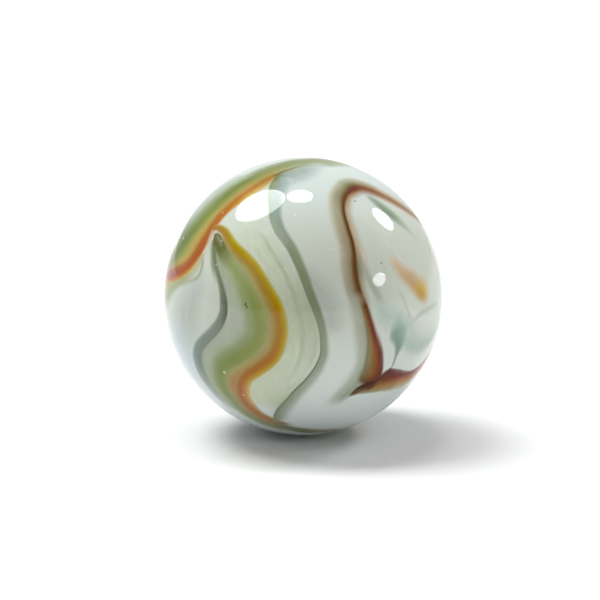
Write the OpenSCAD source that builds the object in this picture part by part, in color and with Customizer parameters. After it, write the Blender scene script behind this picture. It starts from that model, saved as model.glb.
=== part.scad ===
// A glass marble: one solid ball of swirled opal glass, fire-polished all over.
// The origin is at the centre of the ball. +Z is up when it is displayed with
// the face that shows most of the swirl towards -Y.

/* [Ball] */
// Diameter of the ball
ball_d = 25; // [12:0.5:50]

/* [Hidden] */
// Colour of the opal glass between the coloured swirls
OPAL_WHITE = [0.76, 0.80, 0.78];
// Facets around the ball in the preview
facets = 192;

// The swirls are coloured glass within the ball and flush with its surface,
// so the ball is a single solid with no seam.
module marble() {
    color(OPAL_WHITE)
        sphere(d = ball_d, $fn = facets);
}

marble();
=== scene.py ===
import math

import bpy
import numpy as np
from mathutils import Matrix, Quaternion, Vector


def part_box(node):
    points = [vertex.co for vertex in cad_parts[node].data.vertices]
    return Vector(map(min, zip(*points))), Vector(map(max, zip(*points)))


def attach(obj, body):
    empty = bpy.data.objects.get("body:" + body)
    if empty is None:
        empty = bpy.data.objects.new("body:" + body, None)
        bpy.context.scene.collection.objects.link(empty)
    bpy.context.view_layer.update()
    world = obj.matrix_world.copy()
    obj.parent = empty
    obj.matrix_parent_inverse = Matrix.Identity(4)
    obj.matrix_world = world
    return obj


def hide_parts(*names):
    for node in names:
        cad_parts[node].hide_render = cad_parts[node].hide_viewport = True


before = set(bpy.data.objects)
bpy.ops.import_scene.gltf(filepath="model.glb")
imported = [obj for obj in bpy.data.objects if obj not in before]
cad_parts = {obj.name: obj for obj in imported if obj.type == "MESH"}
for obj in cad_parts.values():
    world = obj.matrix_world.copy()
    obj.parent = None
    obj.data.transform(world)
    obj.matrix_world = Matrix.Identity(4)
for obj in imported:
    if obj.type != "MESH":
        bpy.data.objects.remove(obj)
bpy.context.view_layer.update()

# A swirled glass marble.  The ball is one dense mesh.  Each coloured swirl is
# a ribbon: a smooth line through a few stations on the ball, given as
# longitude and latitude in degrees, with its reach to either side.  Longitude
# 0 faces -Y and grows towards +X; latitude 90 is the top.  The mesh carries,
# for each ribbon, how far a point lies across it and along it, and the
# material turns that into layers of coloured glass.  Some layers are painted
# light or shade, and say so where they stand.

LOW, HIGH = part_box("marble")
RADIUS = (HIGH[2] - LOW[2]) / 2
CENTRE = Vector(((LOW[0] + HIGH[0]) / 2, (LOW[1] + HIGH[1]) / 2, (LOW[2] + HIGH[2]) / 2))
SCENE = bpy.context.scene


# ---------------------------------------------------------------- small tools

def link(obj):
    SCENE.collection.objects.link(obj)
    return obj


def smooth_step(x):
    x = np.clip(x, 0.0, 1.0)
    return x * x * (3.0 - 2.0 * x)


def direction(lon, lat):
    """Unit vector(s) of a place on the ball, from degrees."""
    a = np.radians(lon)
    b = np.radians(lat)
    return np.stack([np.cos(b) * np.sin(a), -np.cos(b) * np.cos(a), np.sin(b)], -1)


def linear(level):
    """A screen level from 0 to 255 as linear light."""
    x = level / 255.0
    return x / 12.92 if x <= 0.04045 else ((x + 0.055) / 1.055) ** 2.4


# Pale light that the clear skin and the glass under it add to every colour.
VEIL = (0.0, 0.006, 0.010)


def colour(rgb, alpha=1.0):
    """A colour as seen on the ball, with the veil taken off."""
    return (*(max(linear(level) - veil, 0.0) for level, veil in zip(rgb, VEIL)), alpha)


# -------------------------------------------------------------------- ribbons

# Stations are (longitude, latitude, reach to the right, reach to the left) in
# degrees, seen along the ribbon from outside the ball.  For a ribbon that
# runs down the page, the first reach is towards the page's left.
# A look is (station number, [(across, colour, strength), ...]), where across
# runs from -1 at the first reach's edge to 1 at the other's, and a strength
# that is left out is 1.  Where a ribbon has several looks, one turns into the
# next along it.
# Most of the colours on the front are copies, mostly rounded to even numbers,
# of readings that another script took from the photo across the ribbons.

RIBBONS = []


def ribbon(name, stations, looks, fade=(0.0, 0.0), jitter=0.10):
    looks = [(number, [(*stop, 1.0)[:3] for stop in stops]) for number, stops in looks]
    RIBBONS.append(dict(name=name, stations=stations, looks=looks, fade=fade, jitter=jitter))


def soft(shade, strength):
    """A look that is strongest in its middle and fades out to both sides."""
    return [(0, [(-1.0, shade, 0.0), (-0.35, shade, strength * 0.8),
                 (0.0, shade, strength), (0.35, shade, strength * 0.8),
                 (1.0, shade, 0.0)])]


ribbon(
    "cool_field",
    [(-46, 24, 4, 4), (-51, 13, 8, 8), (-56, 2, 13, 12), (-62, -10, 17, 14), (-68, -22, 18, 15),
     (-74, -34, 16, 12), (-80, -46, 10, 8)],
    [(0, [(-1, (187, 198, 200), 0), (-0.35, (186, 197, 198), 0.8), (0, (180, 191, 193)),
          (0.35, (172, 183, 184), 0.9), (1, (170, 180, 178), 0)]),
     (2, [(-1, (180, 190, 180), 0), (-0.35, (178, 188, 176), 0.8), (0, (178, 188, 176)),
          (0.35, (172, 182, 172), 0.8), (1, (168, 178, 166), 0)]),
     (4, [(-1, (200, 212, 220), 0), (-0.35, (200, 212, 220), 0.8), (0.35, (198, 210, 216), 0.8),
          (1, (198, 210, 216), 0)])], fade=(1.5, 1.5))

ribbon(
    "pale_green_field",
    [(-38, 46, 5, 6), (-29, 40, 9, 9), (-20, 32, 9, 9), (-13, 24, 9, 9), (-6, 14, 8, 9), (-2, 4, 8, 11),
     (-1, -6, 8, 12), (-5, -16, 10, 11), (-12, -26, 12, 12), (-18, -35, 11, 11), (-21, -44, 7, 7)],
    [(0, [(-1, (196, 206, 192), 0), (-0.5, (194, 204, 186), 0.8), (0.5, (196, 206, 192), 0.8),
          (1, (200, 208, 200), 0)]),
     (3, [(-1, (190, 194, 160), 0), (-0.6, (192, 199, 176)), (0.2, (192, 200, 180)),
          (0.7, (194, 201, 186), 0.9), (1, (198, 204, 194), 0)]),
     (5, [(-1, (184, 184, 146), 0), (-0.7, (184, 188, 158)), (-0.2, (182, 188, 164)),
          (0.5, (174, 178, 156)), (1, (180, 184, 168), 0)]),
     (7, [(-1, (186, 188, 152), 0), (-0.6, (188, 195, 168)), (-0.1, (190, 199, 178)),
          (0.6, (188, 197, 178)), (1, (192, 200, 186), 0)]),
     (9, [(-1, (192, 192, 164), 0), (-0.6, (192, 199, 176)), (0.1, (190, 198, 176)),
          (0.6, (172, 182, 160)), (1, (160, 170, 150), 0)])], fade=(1, 1))

ribbon(
    "green_line",
    [(-25, 40.5, 0.8, 0.8), (-19, 34.5, 1.2, 1.2), (-13.6, 28.4, 1.4, 1.4), (-8, 21, 1.5, 1.5),
     (-3.8, 12, 1.6, 1.6), (-0.8, 2, 1.6, 1.6), (-0.4, -8, 1.4, 1.4), (-3, -18, 1.4, 1.4),
     (-9, -28, 1.2, 1.2)],
    soft((166, 176, 150), 0.7), fade=(1.5, 1.5))

ribbon(
    "fine_line",
    [(2, 10, 0.8, 0.8), (4.4, 2, 1, 1), (5, -6, 1, 1), (4, -13, 0.9, 0.9), (0, -20, 0.8, 0.8)],
    soft((170, 180, 158), 0.6), fade=(1, 1))

ribbon(
    "leaf_shade",
    [(-45, 31, 2, 2), (-39.5, 21, 4, 4.4), (-31, 12, 5, 6), (-28, 2, 6, 7), (-32, -5, 7, 7),
     (-41, -11, 7, 7), (-47, -18, 7, 7), (-49, -28, 7, 7), (-47, -38, 6, 6), (-42, -47, 5, 5)],
    [(0, [(-1, (156, 166, 146), 0), (-0.4, (160, 170, 150), 0.9), (0.5, (150, 160, 132)),
          (1, (150, 160, 132), 0)]),
     (3, [(-1, (180, 189, 178), 0), (-0.4, (174, 182, 166)), (0.5, (170, 178, 156)),
          (1, (160, 170, 144), 0)]),
     (6, [(-1, (172, 184, 174), 0), (-0.4, (156, 168, 154)), (0.4, (158, 170, 148)),
          (1, (150, 163, 132), 0)]),
     (9, [(-1, (186, 196, 188), 0), (-0.3, (162, 174, 162), 0.9), (0.5, (150, 164, 140)),
          (1, (150, 164, 140), 0)])], fade=(1, 1))

ribbon(
    "green_band",
    [(158, 40, 6, 6), (148, 54, 8, 8), (132, 68, 9, 10), (110, 79, 9, 11), (60, 85.5, 7, 11),
     (-30, 84.5, 7.4, 10), (-47, 77.5, 8.4, 7), (-54, 70.5, 9.8, 5.4), (-56.5, 63.7, 12, 5.4),
     (-61, 57, 16, 6.4), (-63.5, 49, 18, 7.6), (-66, 41, 18, 8.4), (-69, 33, 16, 9.8),
     (-72.5, 26, 13, 11.5), (-78, 19.5, 8, 9.5), (-87, 14.5, 6, 6), (-100, 10, 5, 4.4),
     (-118, 4, 4.5, 4), (-138, 0, 4, 4), (-158, 4, 3, 3)],
    [(0, [(-1, (196, 204, 190), 0), (-0.4, (164, 174, 144)), (0.3, (130, 140, 90)),
          (1, (176, 184, 166), 0)]),
     (3, [(-1, (176, 186, 172), 0), (-0.5, (134, 146, 110)), (0, (112, 124, 74)),
          (0.4, (126, 139, 100)), (0.7, (146, 161, 138), 0.9), (1, (160, 172, 160), 0)]),
     (5, [(-1, (170, 180, 164), 0), (-0.5, (128, 140, 100)), (0, (112, 122, 68)), (0.4, (130, 141, 98)),
          (0.7, (140, 154, 126), 0.9), (1, (150, 164, 146), 0)]),
     (7, [(-1, (172, 183, 170), 0), (-0.6, (148, 160, 138)), (-0.25, (116, 128, 80)),
          (0, (112, 124, 64)), (0.4, (124, 128, 50)), (0.8, (142, 132, 62)), (1, (146, 118, 50))]),
     (9, [(-1, (172, 187, 180), 0), (-0.72, (160, 174, 162), 0.8), (-0.48, (156, 171, 150)),
          (-0.3, (134, 150, 114)), (-0.12, (102, 118, 54)), (0.05, (96, 112, 22)),
          (0.4, (120, 128, 54)), (0.75, (148, 136, 70)), (1, (166, 132, 66))]),
     (11, [(-1, (174, 186, 178), 0), (-0.74, (160, 173, 162), 0.8), (-0.52, (156, 170, 152)),
           (-0.32, (128, 145, 108)), (-0.14, (112, 130, 74)), (0.06, (104, 120, 42)),
           (0.4, (122, 130, 52)), (0.72, (154, 144, 74)), (1, (164, 120, 44))]),
     (13, [(-1, (150, 164, 146), 0), (-0.6, (118, 134, 100)), (-0.25, (94, 114, 44)),
           (0.05, (80, 102, 6)), (0.35, (110, 126, 46)), (0.68, (156, 144, 72)), (0.9, (172, 146, 78)),
           (1, (164, 118, 50))]),
     (15, [(-1, (170, 180, 156), 0), (-0.5, (122, 136, 84)), (0.1, (84, 100, 10)),
           (0.6, (132, 120, 40)), (1, (156, 100, 24), 0.8)]),
     (18, [(-1, (180, 190, 170), 0), (-0.4, (132, 146, 96)), (0.3, (112, 126, 54)),
           (1, (160, 140, 80), 0.6)])], fade=(2, 2))

ribbon(
    "left_cream",
    [(-50.4, 26.5, 1.4, 0.5), (-51.2, 22.4, 2.6, 1.3), (-54, 18.2, 3.4, 2.7), (-59.6, 14.2, 3.6, 3.6),
     (-68, 10, 4.5, 5), (-77, 5, 5.5, 8), (-88, 0, 5.5, 9), (-102, -7, 5, 8), (-118, -12, 4, 6)],
    [(0, [(-1, (160, 152, 116), 0), (0, (158, 156, 126), 0.9), (1, (170, 172, 150), 0)]),
     (2, [(-1, (186, 160, 110), 0.6), (-0.4, (182, 170, 124)), (0.3, (174, 176, 140)),
          (1, (166, 174, 148), 0.4)]),
     (4, [(-1, (184, 140, 72)), (-0.5, (168, 156, 96)), (0, (152, 157, 110)), (0.5, (152, 164, 128)),
          (1, (176, 188, 172), 0)]),
     (6, [(-1, (160, 112, 24)), (-0.5, (132, 128, 50)), (0, (122, 137, 76)), (0.4, (138, 156, 112)),
          (0.7, (160, 174, 150), 0.8), (1, (178, 190, 178), 0)])], fade=(0.5, 2))

ribbon(
    "left_line",
    [(-50.2, 26, 0.6, 0.6), (-49.6, 22, 1.3, 1.3), (-49, 18.8, 1.6, 1.6), (-50.6, 15.2, 1.6, 1.7),
     (-57.5, 12.2, 1.5, 2.2), (-68, 8, 1.4, 2.4)],
    [(0, [(-1, (150, 152, 128), 0), (0, (116, 126, 108), 0.9), (1, (168, 178, 168), 0)]),
     (3, [(-1, (166, 170, 146), 0), (0, (148, 158, 136), 0.8), (1, (178, 188, 174), 0)])],
    fade=(1.2, 2), jitter=0.05)

ribbon(
    "orange_band",
    [(-29.5, 71.6, 0.8, 1), (-34, 69.6, 1.9, 3), (-38.5, 66.2, 2.6, 5.2), (-42.5, 61.6, 3.2, 6.4),
     (-46.2, 56, 3.8, 5.8), (-49.2, 50, 4.4, 4.4), (-51.6, 42, 5, 3.2), (-52.7, 35, 5.4, 2.9),
     (-54, 27.8, 5.6, 3), (-56.5, 22.2, 5.4, 3.2), (-61.1, 17.9, 5, 3.6), (-69, 14.2, 4.4, 3.8),
     (-78, 11.8, 3.2, 3.4), (-88, 9, 2.6, 2.8), (-102, 3.5, 2.2, 2.4), (-118, -2, 2, 2.2),
     (-138, -5, 1.8, 2), (-158, -1, 1.4, 1.6), (-174, 8, 1, 1.2)],
    [(0, [(-1, (120, 96, 40), 0), (-0.4, (110, 84, 24)), (0.4, (104, 92, 50)), (1, (108, 110, 80), 0)]),
     (2, [(-1, (150, 130, 66), 0), (-0.5, (148, 116, 44)), (0, (146, 100, 20)), (0.3, (158, 122, 56)),
          (0.65, (176, 158, 112), 0.9), (1, (184, 180, 150), 0)]),
     (4, [(-1, (158, 136, 66), 0), (-0.55, (166, 132, 66)), (-0.1, (160, 112, 40)),
          (0.2, (172, 122, 50)), (0.5, (190, 158, 84)), (0.75, (196, 176, 122), 0.8),
          (1, (198, 190, 160), 0)]),
     (5, [(-1, (168, 146, 76), 0), (-0.55, (170, 136, 62)), (-0.1, (158, 104, 18)),
          (0.3, (168, 114, 30)), (0.7, (188, 150, 76), 0.9), (1, (196, 180, 134), 0)]),
     (6, [(-1, (166, 146, 76), 0), (-0.66, (166, 132, 58)), (-0.36, (158, 104, 20)), (0, (160, 96, 2)),
          (0.3, (166, 102, 20)), (0.6, (186, 132, 84), 0.9), (1, (196, 174, 156), 0)]),
     (8, [(-1, (160, 144, 76), 0), (-0.72, (166, 138, 62)), (-0.42, (154, 100, 14)),
          (-0.1, (154, 79, 0)), (0.3, (160, 74, 0)), (0.6, (164, 96, 16)), (0.85, (168, 130, 76), 0.8),
          (1, (176, 156, 120), 0)]),
     (10, [(-1, (162, 146, 76), 0), (-0.7, (168, 138, 60)), (-0.4, (156, 102, 20)),
           (-0.05, (154, 79, 0)), (0.3, (156, 80, 0)), (0.6, (176, 108, 10)), (0.85, (184, 140, 54)),
           (1, (186, 156, 98), 0.2)]),
     (12, [(-1, (150, 120, 60), 0.2), (-0.5, (130, 70, 4)), (0, (134, 42, 0)), (0.4, (142, 48, 0)),
           (0.75, (156, 92, 6)), (1, (150, 122, 50), 0.4)]),
     (15, [(-1, (160, 130, 70), 0.2), (-0.4, (140, 78, 10)), (0.3, (150, 64, 2)), (0.7, (174, 120, 40)),
           (1, (190, 170, 120), 0)])], fade=(0.5, 2))

ribbon(
    "joint_tint",
    [(-51.4, 37, 1.2, 1.4), (-50.6, 33.6, 1.8, 2.2), (-49.8, 29, 2, 2.6), (-49, 24, 2, 3),
     (-48, 18, 1.8, 3)],
    soft((180, 170, 144), 0.8), fade=(0.3, 3))

ribbon(
    "leaf_gap",
    [(-48.2, 33, 1.4, 1.6), (-46.4, 29.5, 2.4, 2.6), (-44, 25, 2.6, 2.8), (-41.4, 20, 2.2, 2.4),
     (-38, 14, 1.4, 1.6)],
    soft((130, 141, 114), 1), fade=(0.5, 1.5))

ribbon(
    "leaf",
    [(-48.5, 35.4, 0.9, 0.9), (-46.5, 33, 2, 2.4), (-42, 29.5, 3.6, 3.8), (-37, 25.8, 4.8, 4.8),
     (-31, 21.4, 5.6, 5.2), (-26, 15.6, 6.8, 6.2), (-22, 9, 7.8, 7.2), (-19.5, 2, 8.4, 7.6),
     (-19.5, -4, 8.4, 7.6), (-22.5, -9, 8.4, 7.6), (-28, -13.5, 8.2, 7.6), (-34, -17, 8, 7.6),
     (-38.5, -21.5, 8, 7.4), (-40.5, -27, 8, 7.4), (-41, -33, 7.6, 7.4), (-39.5, -40, 6.8, 7),
     (-36, -46.5, 6, 6.4), (-29, -53, 5.2, 5.2), (-18, -58.2, 4.4, 4.2), (-5, -62, 3.6, 3.5)],
    [(1, [(-1, (96, 104, 60), 0), (-0.6, (78, 76, 8)), (0, (92, 94, 36)), (0.6, (128, 116, 60)),
          (1, (150, 128, 70), 0)]),
     (2, [(-1, (130, 140, 110), 0), (-0.5, (96, 106, 62)), (0, (96, 100, 54)), (0.5, (98, 102, 60)),
          (1, (146, 132, 80), 0.6)]),
     (4, [(-1, (170, 177, 156), 0), (-0.6, (164, 173, 144), 0.9), (-0.2, (148, 158, 112)),
          (0.1, (148, 157, 108)), (0.5, (156, 162, 114)), (0.75, (166, 158, 100)),
          (1, (160, 136, 68))]),
     (7, [(-1, (172, 180, 163), 0), (-0.72, (168, 177, 156), 0.8), (-0.42, (150, 161, 124)),
          (-0.15, (142, 153, 104)), (0.1, (134, 144, 81)), (0.42, (139, 148, 84)),
          (0.65, (156, 151, 101)), (0.85, (160, 143, 86)), (1, (158, 128, 62))]),
     (11, [(-1, (162, 174, 154), 0), (-0.72, (158, 171, 143), 0.8), (-0.45, (140, 153, 114)),
           (-0.2, (126, 140, 88)), (0.1, (122, 135, 70)), (0.4, (131, 140, 82)), (0.62, (154, 149, 93)),
           (0.85, (159, 132, 72)), (1, (154, 104, 40))]),
     (14, [(-1, (148, 162, 144), 0), (-0.7, (150, 162, 138), 0.8), (-0.4, (136, 148, 104)),
           (-0.1, (120, 134, 82)), (0.15, (124, 136, 80)), (0.4, (149, 141, 91)), (0.7, (162, 118, 68)),
           (1, (161, 98, 50))]),
     (17, [(-1, (184, 194, 172), 0), (-0.6, (160, 172, 142), 0.9), (-0.2, (140, 148, 112)),
           (0.2, (148, 136, 98)), (0.6, (158, 122, 84)), (1, (164, 116, 80))]),
     (19, [(-1, (190, 190, 165), 0), (-0.4, (150, 152, 120)), (0.2, (134, 128, 96)),
           (1, (130, 124, 92), 0.3)])], fade=(0.8, 1))

ribbon(
    "ochre_ribbon",
    [(-52.5, 36.2, 1.2, 1.2), (-48.6, 37.2, 2, 1.9), (-42.5, 35.6, 2.4, 2.6), (-35, 30.8, 3.2, 3),
     (-28, 26.8, 3.6, 3.2), (-21.5, 21.9, 4, 3.2), (-16, 15, 4.4, 3.4), (-12, 9, 4.6, 3.6),
     (-10, 3, 4.8, 3.8), (-9.5, -3, 4.8, 3.8), (-10.8, -9, 4.8, 3.8), (-14.2, -14.5, 4.6, 3.8),
     (-20, -19.2, 4.6, 3.8), (-25.2, -22.9, 4.4, 3.8), (-28.5, -26.8, 4.2, 4.2), (-30.4, -31, 4.2, 4.4),
     (-31.1, -36, 4, 4.4), (-30.2, -41, 4, 4.4), (-27.6, -46, 3.8, 4), (-22.4, -49.6, 3.6, 3.4),
     (-15, -52.6, 3.4, 3), (-5, -55.2, 3, 2.6)],
    [(0, [(-1, (150, 92, 30), 0.4), (-0.4, (156, 100, 24)), (0.3, (158, 112, 34)),
          (1, (180, 150, 100), 0)]),
     (1, [(-1, (146, 106, 50), 0), (-0.5, (156, 122, 44)), (0, (148, 116, 26)), (0.5, (166, 138, 66)),
          (1, (186, 166, 120), 0)]),
     (3, [(-1, (146, 142, 96), 0), (-0.5, (158, 136, 76)), (0, (155, 128, 34)), (0.4, (164, 148, 40)),
          (0.7, (177, 170, 92), 0.9), (1, (190, 192, 160), 0)]),
     (5, [(-1, (164, 159, 110), 0), (-0.6, (164, 150, 94)), (-0.2, (160, 133, 64)),
          (0.2, (169, 140, 50)), (0.5, (172, 149, 58)), (0.8, (184, 170, 96), 0.9),
          (1, (190, 184, 136), 0)]),
     (8, [(-1, (160, 152, 102), 0), (-0.66, (159, 146, 90)), (-0.36, (159, 130, 60)),
          (-0.05, (164, 119, 38)), (0.15, (168, 121, 30)), (0.42, (169, 140, 6)),
          (0.62, (171, 152, 48)), (0.84, (178, 168, 104), 0.9), (1, (184, 180, 146), 0)]),
     (12, [(-1, (155, 144, 91), 0), (-0.6, (163, 137, 80)), (-0.35, (154, 110, 45)),
           (-0.05, (161, 98, 28)), (0.2, (162, 108, 4)), (0.45, (169, 129, 18)), (0.65, (177, 147, 52)),
           (0.85, (181, 162, 94), 0.9), (1, (188, 184, 146), 0)]),
     (16, [(-1, (154, 136, 90), 0), (-0.66, (158, 122, 78)), (-0.3, (154, 101, 48)),
           (0, (165, 104, 54)), (0.3, (178, 128, 76)), (0.55, (184, 150, 96)),
           (0.8, (192, 174, 134), 0.8), (1, (196, 190, 166), 0)]),
     (19, [(-1, (150, 136, 100), 0), (-0.5, (160, 126, 90)), (0, (158, 114, 76)), (0.4, (162, 120, 82)),
           (0.8, (176, 142, 104), 0.7), (1, (190, 176, 150), 0)]),
     (21, [(-1, (160, 146, 110), 0), (-0.4, (144, 126, 92)), (0.2, (132, 118, 92)),
           (1, (130, 124, 104), 0)])], fade=(0.3, 1))

ribbon(
    "teal_ribbon",
    [(-48, 33, 0.8, 0.8), (-45, 27.2, 1.4, 1.6), (-41.5, 21.8, 1.5, 1.6), (-37.2, 16, 1.9, 1.7),
     (-34.4, 10, 2.5, 2.1), (-33.5, 4, 3, 2.1), (-35.3, -0.8, 3.2, 2.3), (-39.6, -5.5, 3.1, 2.6),
     (-45.2, -10, 3.1, 2.8), (-49.7, -14.4, 3.6, 3.2), (-52.3, -20, 4.2, 3.8), (-52.7, -28, 4.6, 4.4),
     (-50.4, -35, 4.6, 5), (-46.9, -42, 4.6, 4.8), (-42, -48, 4, 4)],
    [(0, [(-1, (100, 92, 46), 0), (-0.3, (80, 74, 10)), (0.4, (82, 84, 20)), (1, (96, 100, 36), 0)]),
     (1, [(-1, (130, 146, 126), 0), (-0.3, (110, 128, 96)), (0.4, (104, 114, 78)),
          (1, (104, 110, 70), 0)]),
     (3, [(-1, (165, 176, 160), 0), (-0.5, (134, 144, 128)), (0, (120, 128, 108)),
          (0.3, (116, 124, 104)), (1, (156, 160, 140), 0)]),
     (5, [(-1, (155, 165, 155), 0), (-0.65, (126, 136, 120)), (-0.2, (108, 118, 98)),
          (0.2, (96, 108, 92)), (0.6, (92, 106, 84)), (1, (150, 158, 138), 0)]),
     (7, [(-1, (168, 178, 168), 0), (-0.6, (136, 148, 136)), (-0.1, (123, 137, 123)),
          (0.4, (125, 138, 124)), (0.7, (126, 136, 118)), (1, (152, 164, 144), 0)]),
     (10, [(-1, (164, 176, 178), 0), (-0.6, (134, 152, 148)), (-0.2, (118, 142, 134)),
           (0.2, (114, 136, 124)), (0.6, (122, 137, 119)), (1, (148, 160, 142), 0)]),
     (12, [(-1, (180, 190, 192), 0), (-0.5, (152, 164, 164)), (0, (142, 155, 146)),
           (0.5, (149, 159, 136), 0.9), (1, (148, 158, 128), 0)])], fade=(0.4, 2))

ribbon(
    "knot",
    [(-49.4, 34.4, 0.8, 0.7), (-47.4, 33.8, 1.4, 1.3), (-44.8, 32.8, 1.9, 1.6), (-42.2, 31, 1.6, 1.4),
     (-40.4, 29, 0.9, 0.8)],
    [(0, [(-1, (110, 112, 80), 0), (-0.3, (80, 80, 34)), (0.3, (84, 84, 30)), (1, (150, 120, 60), 0)]),
     (2, [(-1, (124, 132, 98), 0), (-0.4, (98, 106, 70)), (0, (132, 138, 108)), (0.4, (96, 98, 56)),
          (1, (140, 128, 70), 0)])], fade=(0.8, 0.8), jitter=0.05)

ribbon(
    "grey_smear",
    [(-33, 66, 2.4, 3), (-26, 67.4, 7, 5.6), (-14, 69.6, 9.4, 7.4), (1, 72.8, 8.6, 6.8),
     (20, 76.5, 6.5, 5), (45, 80, 4, 4), (75, 82, 3, 3)],
    [(0, [(-1, (150, 164, 150), 0), (-0.4, (130, 142, 124)), (0.4, (112, 112, 72)),
          (1, (112, 104, 56), 0.6)]),
     (1, [(-1, (184, 195, 192), 0), (-0.6, (164, 178, 174), 0.9), (-0.1, (144, 158, 152)),
          (0.4, (132, 144, 128)), (0.8, (124, 126, 86)), (1, (124, 122, 74), 0.7)]),
     (3, [(-1, (192, 202, 200), 0), (-0.5, (172, 184, 181), 0.9), (0, (152, 165, 160)),
          (0.5, (142, 155, 142)), (1, (140, 150, 120), 0.6)]),
     (5, [(-1, (196, 206, 203), 0), (-0.2, (178, 189, 185), 0.8), (0.4, (164, 176, 168), 0.8),
          (1, (156, 168, 148), 0.3)])], fade=(0.6, 2))

ribbon(
    "top_line",
    [(-36, 67.6, 0.5, 0.5), (-31.5, 71.4, 0.9, 0.9), (-24, 75, 1.1, 1.1), (-12, 78.2, 1.3, 1.3),
     (6, 80.6, 1.5, 1.5), (34, 82.2, 1.5, 1.5)],
    [(0, [(-1, (104, 70, 26), 0), (-0.3, (84, 50, 14)), (0.3, (90, 58, 18)), (1, (120, 92, 40), 0)]),
     (2, [(-1, (130, 126, 84), 0), (-0.3, (106, 98, 54), 0.9), (0.3, (116, 112, 56), 0.9),
          (1, (140, 138, 84), 0)]),
     (4, [(-1, (150, 158, 130), 0), (0, (128, 136, 96), 0.7), (1, (140, 150, 110), 0)])],
    fade=(0.6, 2), jitter=0.05)

# Painted shade: a soft grey over the middle of the front, right of the grey ribbon, standing in for the
# darker surroundings mirrored there.
ribbon(
    "grey_painted_shade",
    [(-3, 27, 3, 5), (3, 17, 4, 8), (8, 8, 4, 9), (11, 0, 4, 8), (12, -6, 3, 6)],
    soft((176, 182, 173), 0.9), fade=(1.2, 1.2))

ribbon(
    "grey_ribbon",
    [(-31.5, 71, 0.6, 2), (-30.4, 67.2, 1, 8.4), (-28.8, 62.4, 1.6, 10.4), (-25.4, 57, 1.9, 8),
     (-21.2, 51, 1.9, 5.4), (-17.8, 45, 2, 4.6), (-13.2, 38.8, 2, 4.1), (-8.9, 34.4, 2, 3.7),
     (-5.8, 30.8, 2, 3.6), (-3.1, 26, 1.9, 3.6), (-0.4, 20, 1.8, 3.5), (2.3, 13, 1.8, 3.3),
     (5.1, 6, 1.8, 3), (7.1, 0, 1.8, 2.7), (8.1, -6, 1.8, 2.9), (8.1, -12, 1.8, 3.4),
     (5.9, -18, 1.8, 4), (2, -24, 1.8, 4.4), (-3.3, -30.2, 1.8, 4.8), (-8.1, -36.3, 1.8, 5.2),
     (-12.6, -41.6, 1.8, 5.6), (-16, -46.4, 1.6, 5.4), (-18, -50, 1.2, 4.6), (-18, -53, 1, 3.4)],
    [(0, [(-1, (110, 100, 50), 0), (0, (96, 90, 34)), (1, (120, 120, 90), 0)]),
     (1, [(-1, (150, 150, 110), 0), (-0.2, (92, 98, 44)), (0.06, (104, 116, 76)),
          (0.25, (130, 146, 134)), (0.6, (154, 169, 164), 0.9), (1, (186, 198, 195), 0)]),
     (2, [(-1, (190, 196, 176), 0), (-0.3, (120, 134, 96)), (0.1, (134, 144, 116)),
          (0.35, (140, 154, 148)), (0.7, (166, 178, 174), 0.8), (1, (192, 200, 196), 0)]),
     (4, [(-1, (190, 200, 186), 0), (-0.4, (142, 158, 134)), (0.1, (138, 156, 144)),
          (0.6, (142, 160, 154)), (0.85, (166, 180, 174), 0.8), (1, (190, 200, 196), 0)]),
     (6, [(-1, (192, 202, 188), 0), (-0.6, (152, 163, 145)), (-0.1, (148, 160, 140)),
          (0.3, (142, 155, 138)), (0.6, (144, 155, 144)), (1, (184, 194, 186), 0)]),
     (9, [(-1, (184, 190, 176), 0), (-0.65, (146, 153, 134)), (-0.3, (126, 137, 110)),
          (0.1, (130, 141, 111)), (0.4, (134, 145, 116)), (0.65, (150, 158, 136), 0.8),
          (1, (186, 192, 178), 0)]),
     (12, [(-1, (172, 180, 162), 0), (-0.65, (130, 138, 118)), (-0.3, (125, 134, 108)),
           (0.05, (126, 137, 109)), (0.35, (122, 132, 106)), (0.6, (138, 146, 126), 0.9),
           (1, (176, 182, 168), 0)]),
     (15, [(-1, (174, 180, 170), 0), (-0.72, (116, 126, 106)), (-0.42, (132, 143, 121)),
           (-0.1, (140, 150, 125)), (0.2, (142, 151, 130)), (0.5, (162, 169, 156), 0.8),
           (1, (192, 198, 190), 0)]),
     (17, [(-1, (176, 186, 172), 0), (-0.72, (104, 116, 94)), (-0.4, (126, 138, 117)),
           (0, (145, 156, 138)), (0.25, (146, 156, 142), 0.9), (0.55, (164, 172, 160), 0.7),
           (1, (192, 200, 192), 0)]),
     (20, [(-1, (176, 184, 166), 0), (-0.75, (132, 142, 122)), (-0.35, (126, 136, 116)),
           (0.05, (142, 152, 132)), (0.3, (148, 157, 142), 0.9), (0.6, (168, 176, 166), 0.7),
           (1, (194, 202, 196), 0)]),
     (22, [(-1, (160, 162, 130), 0), (-0.5, (132, 140, 112)), (0.1, (142, 150, 124)),
           (0.5, (160, 168, 150), 0.8), (1, (188, 196, 186), 0)])], fade=(0.3, 1.2))

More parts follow.
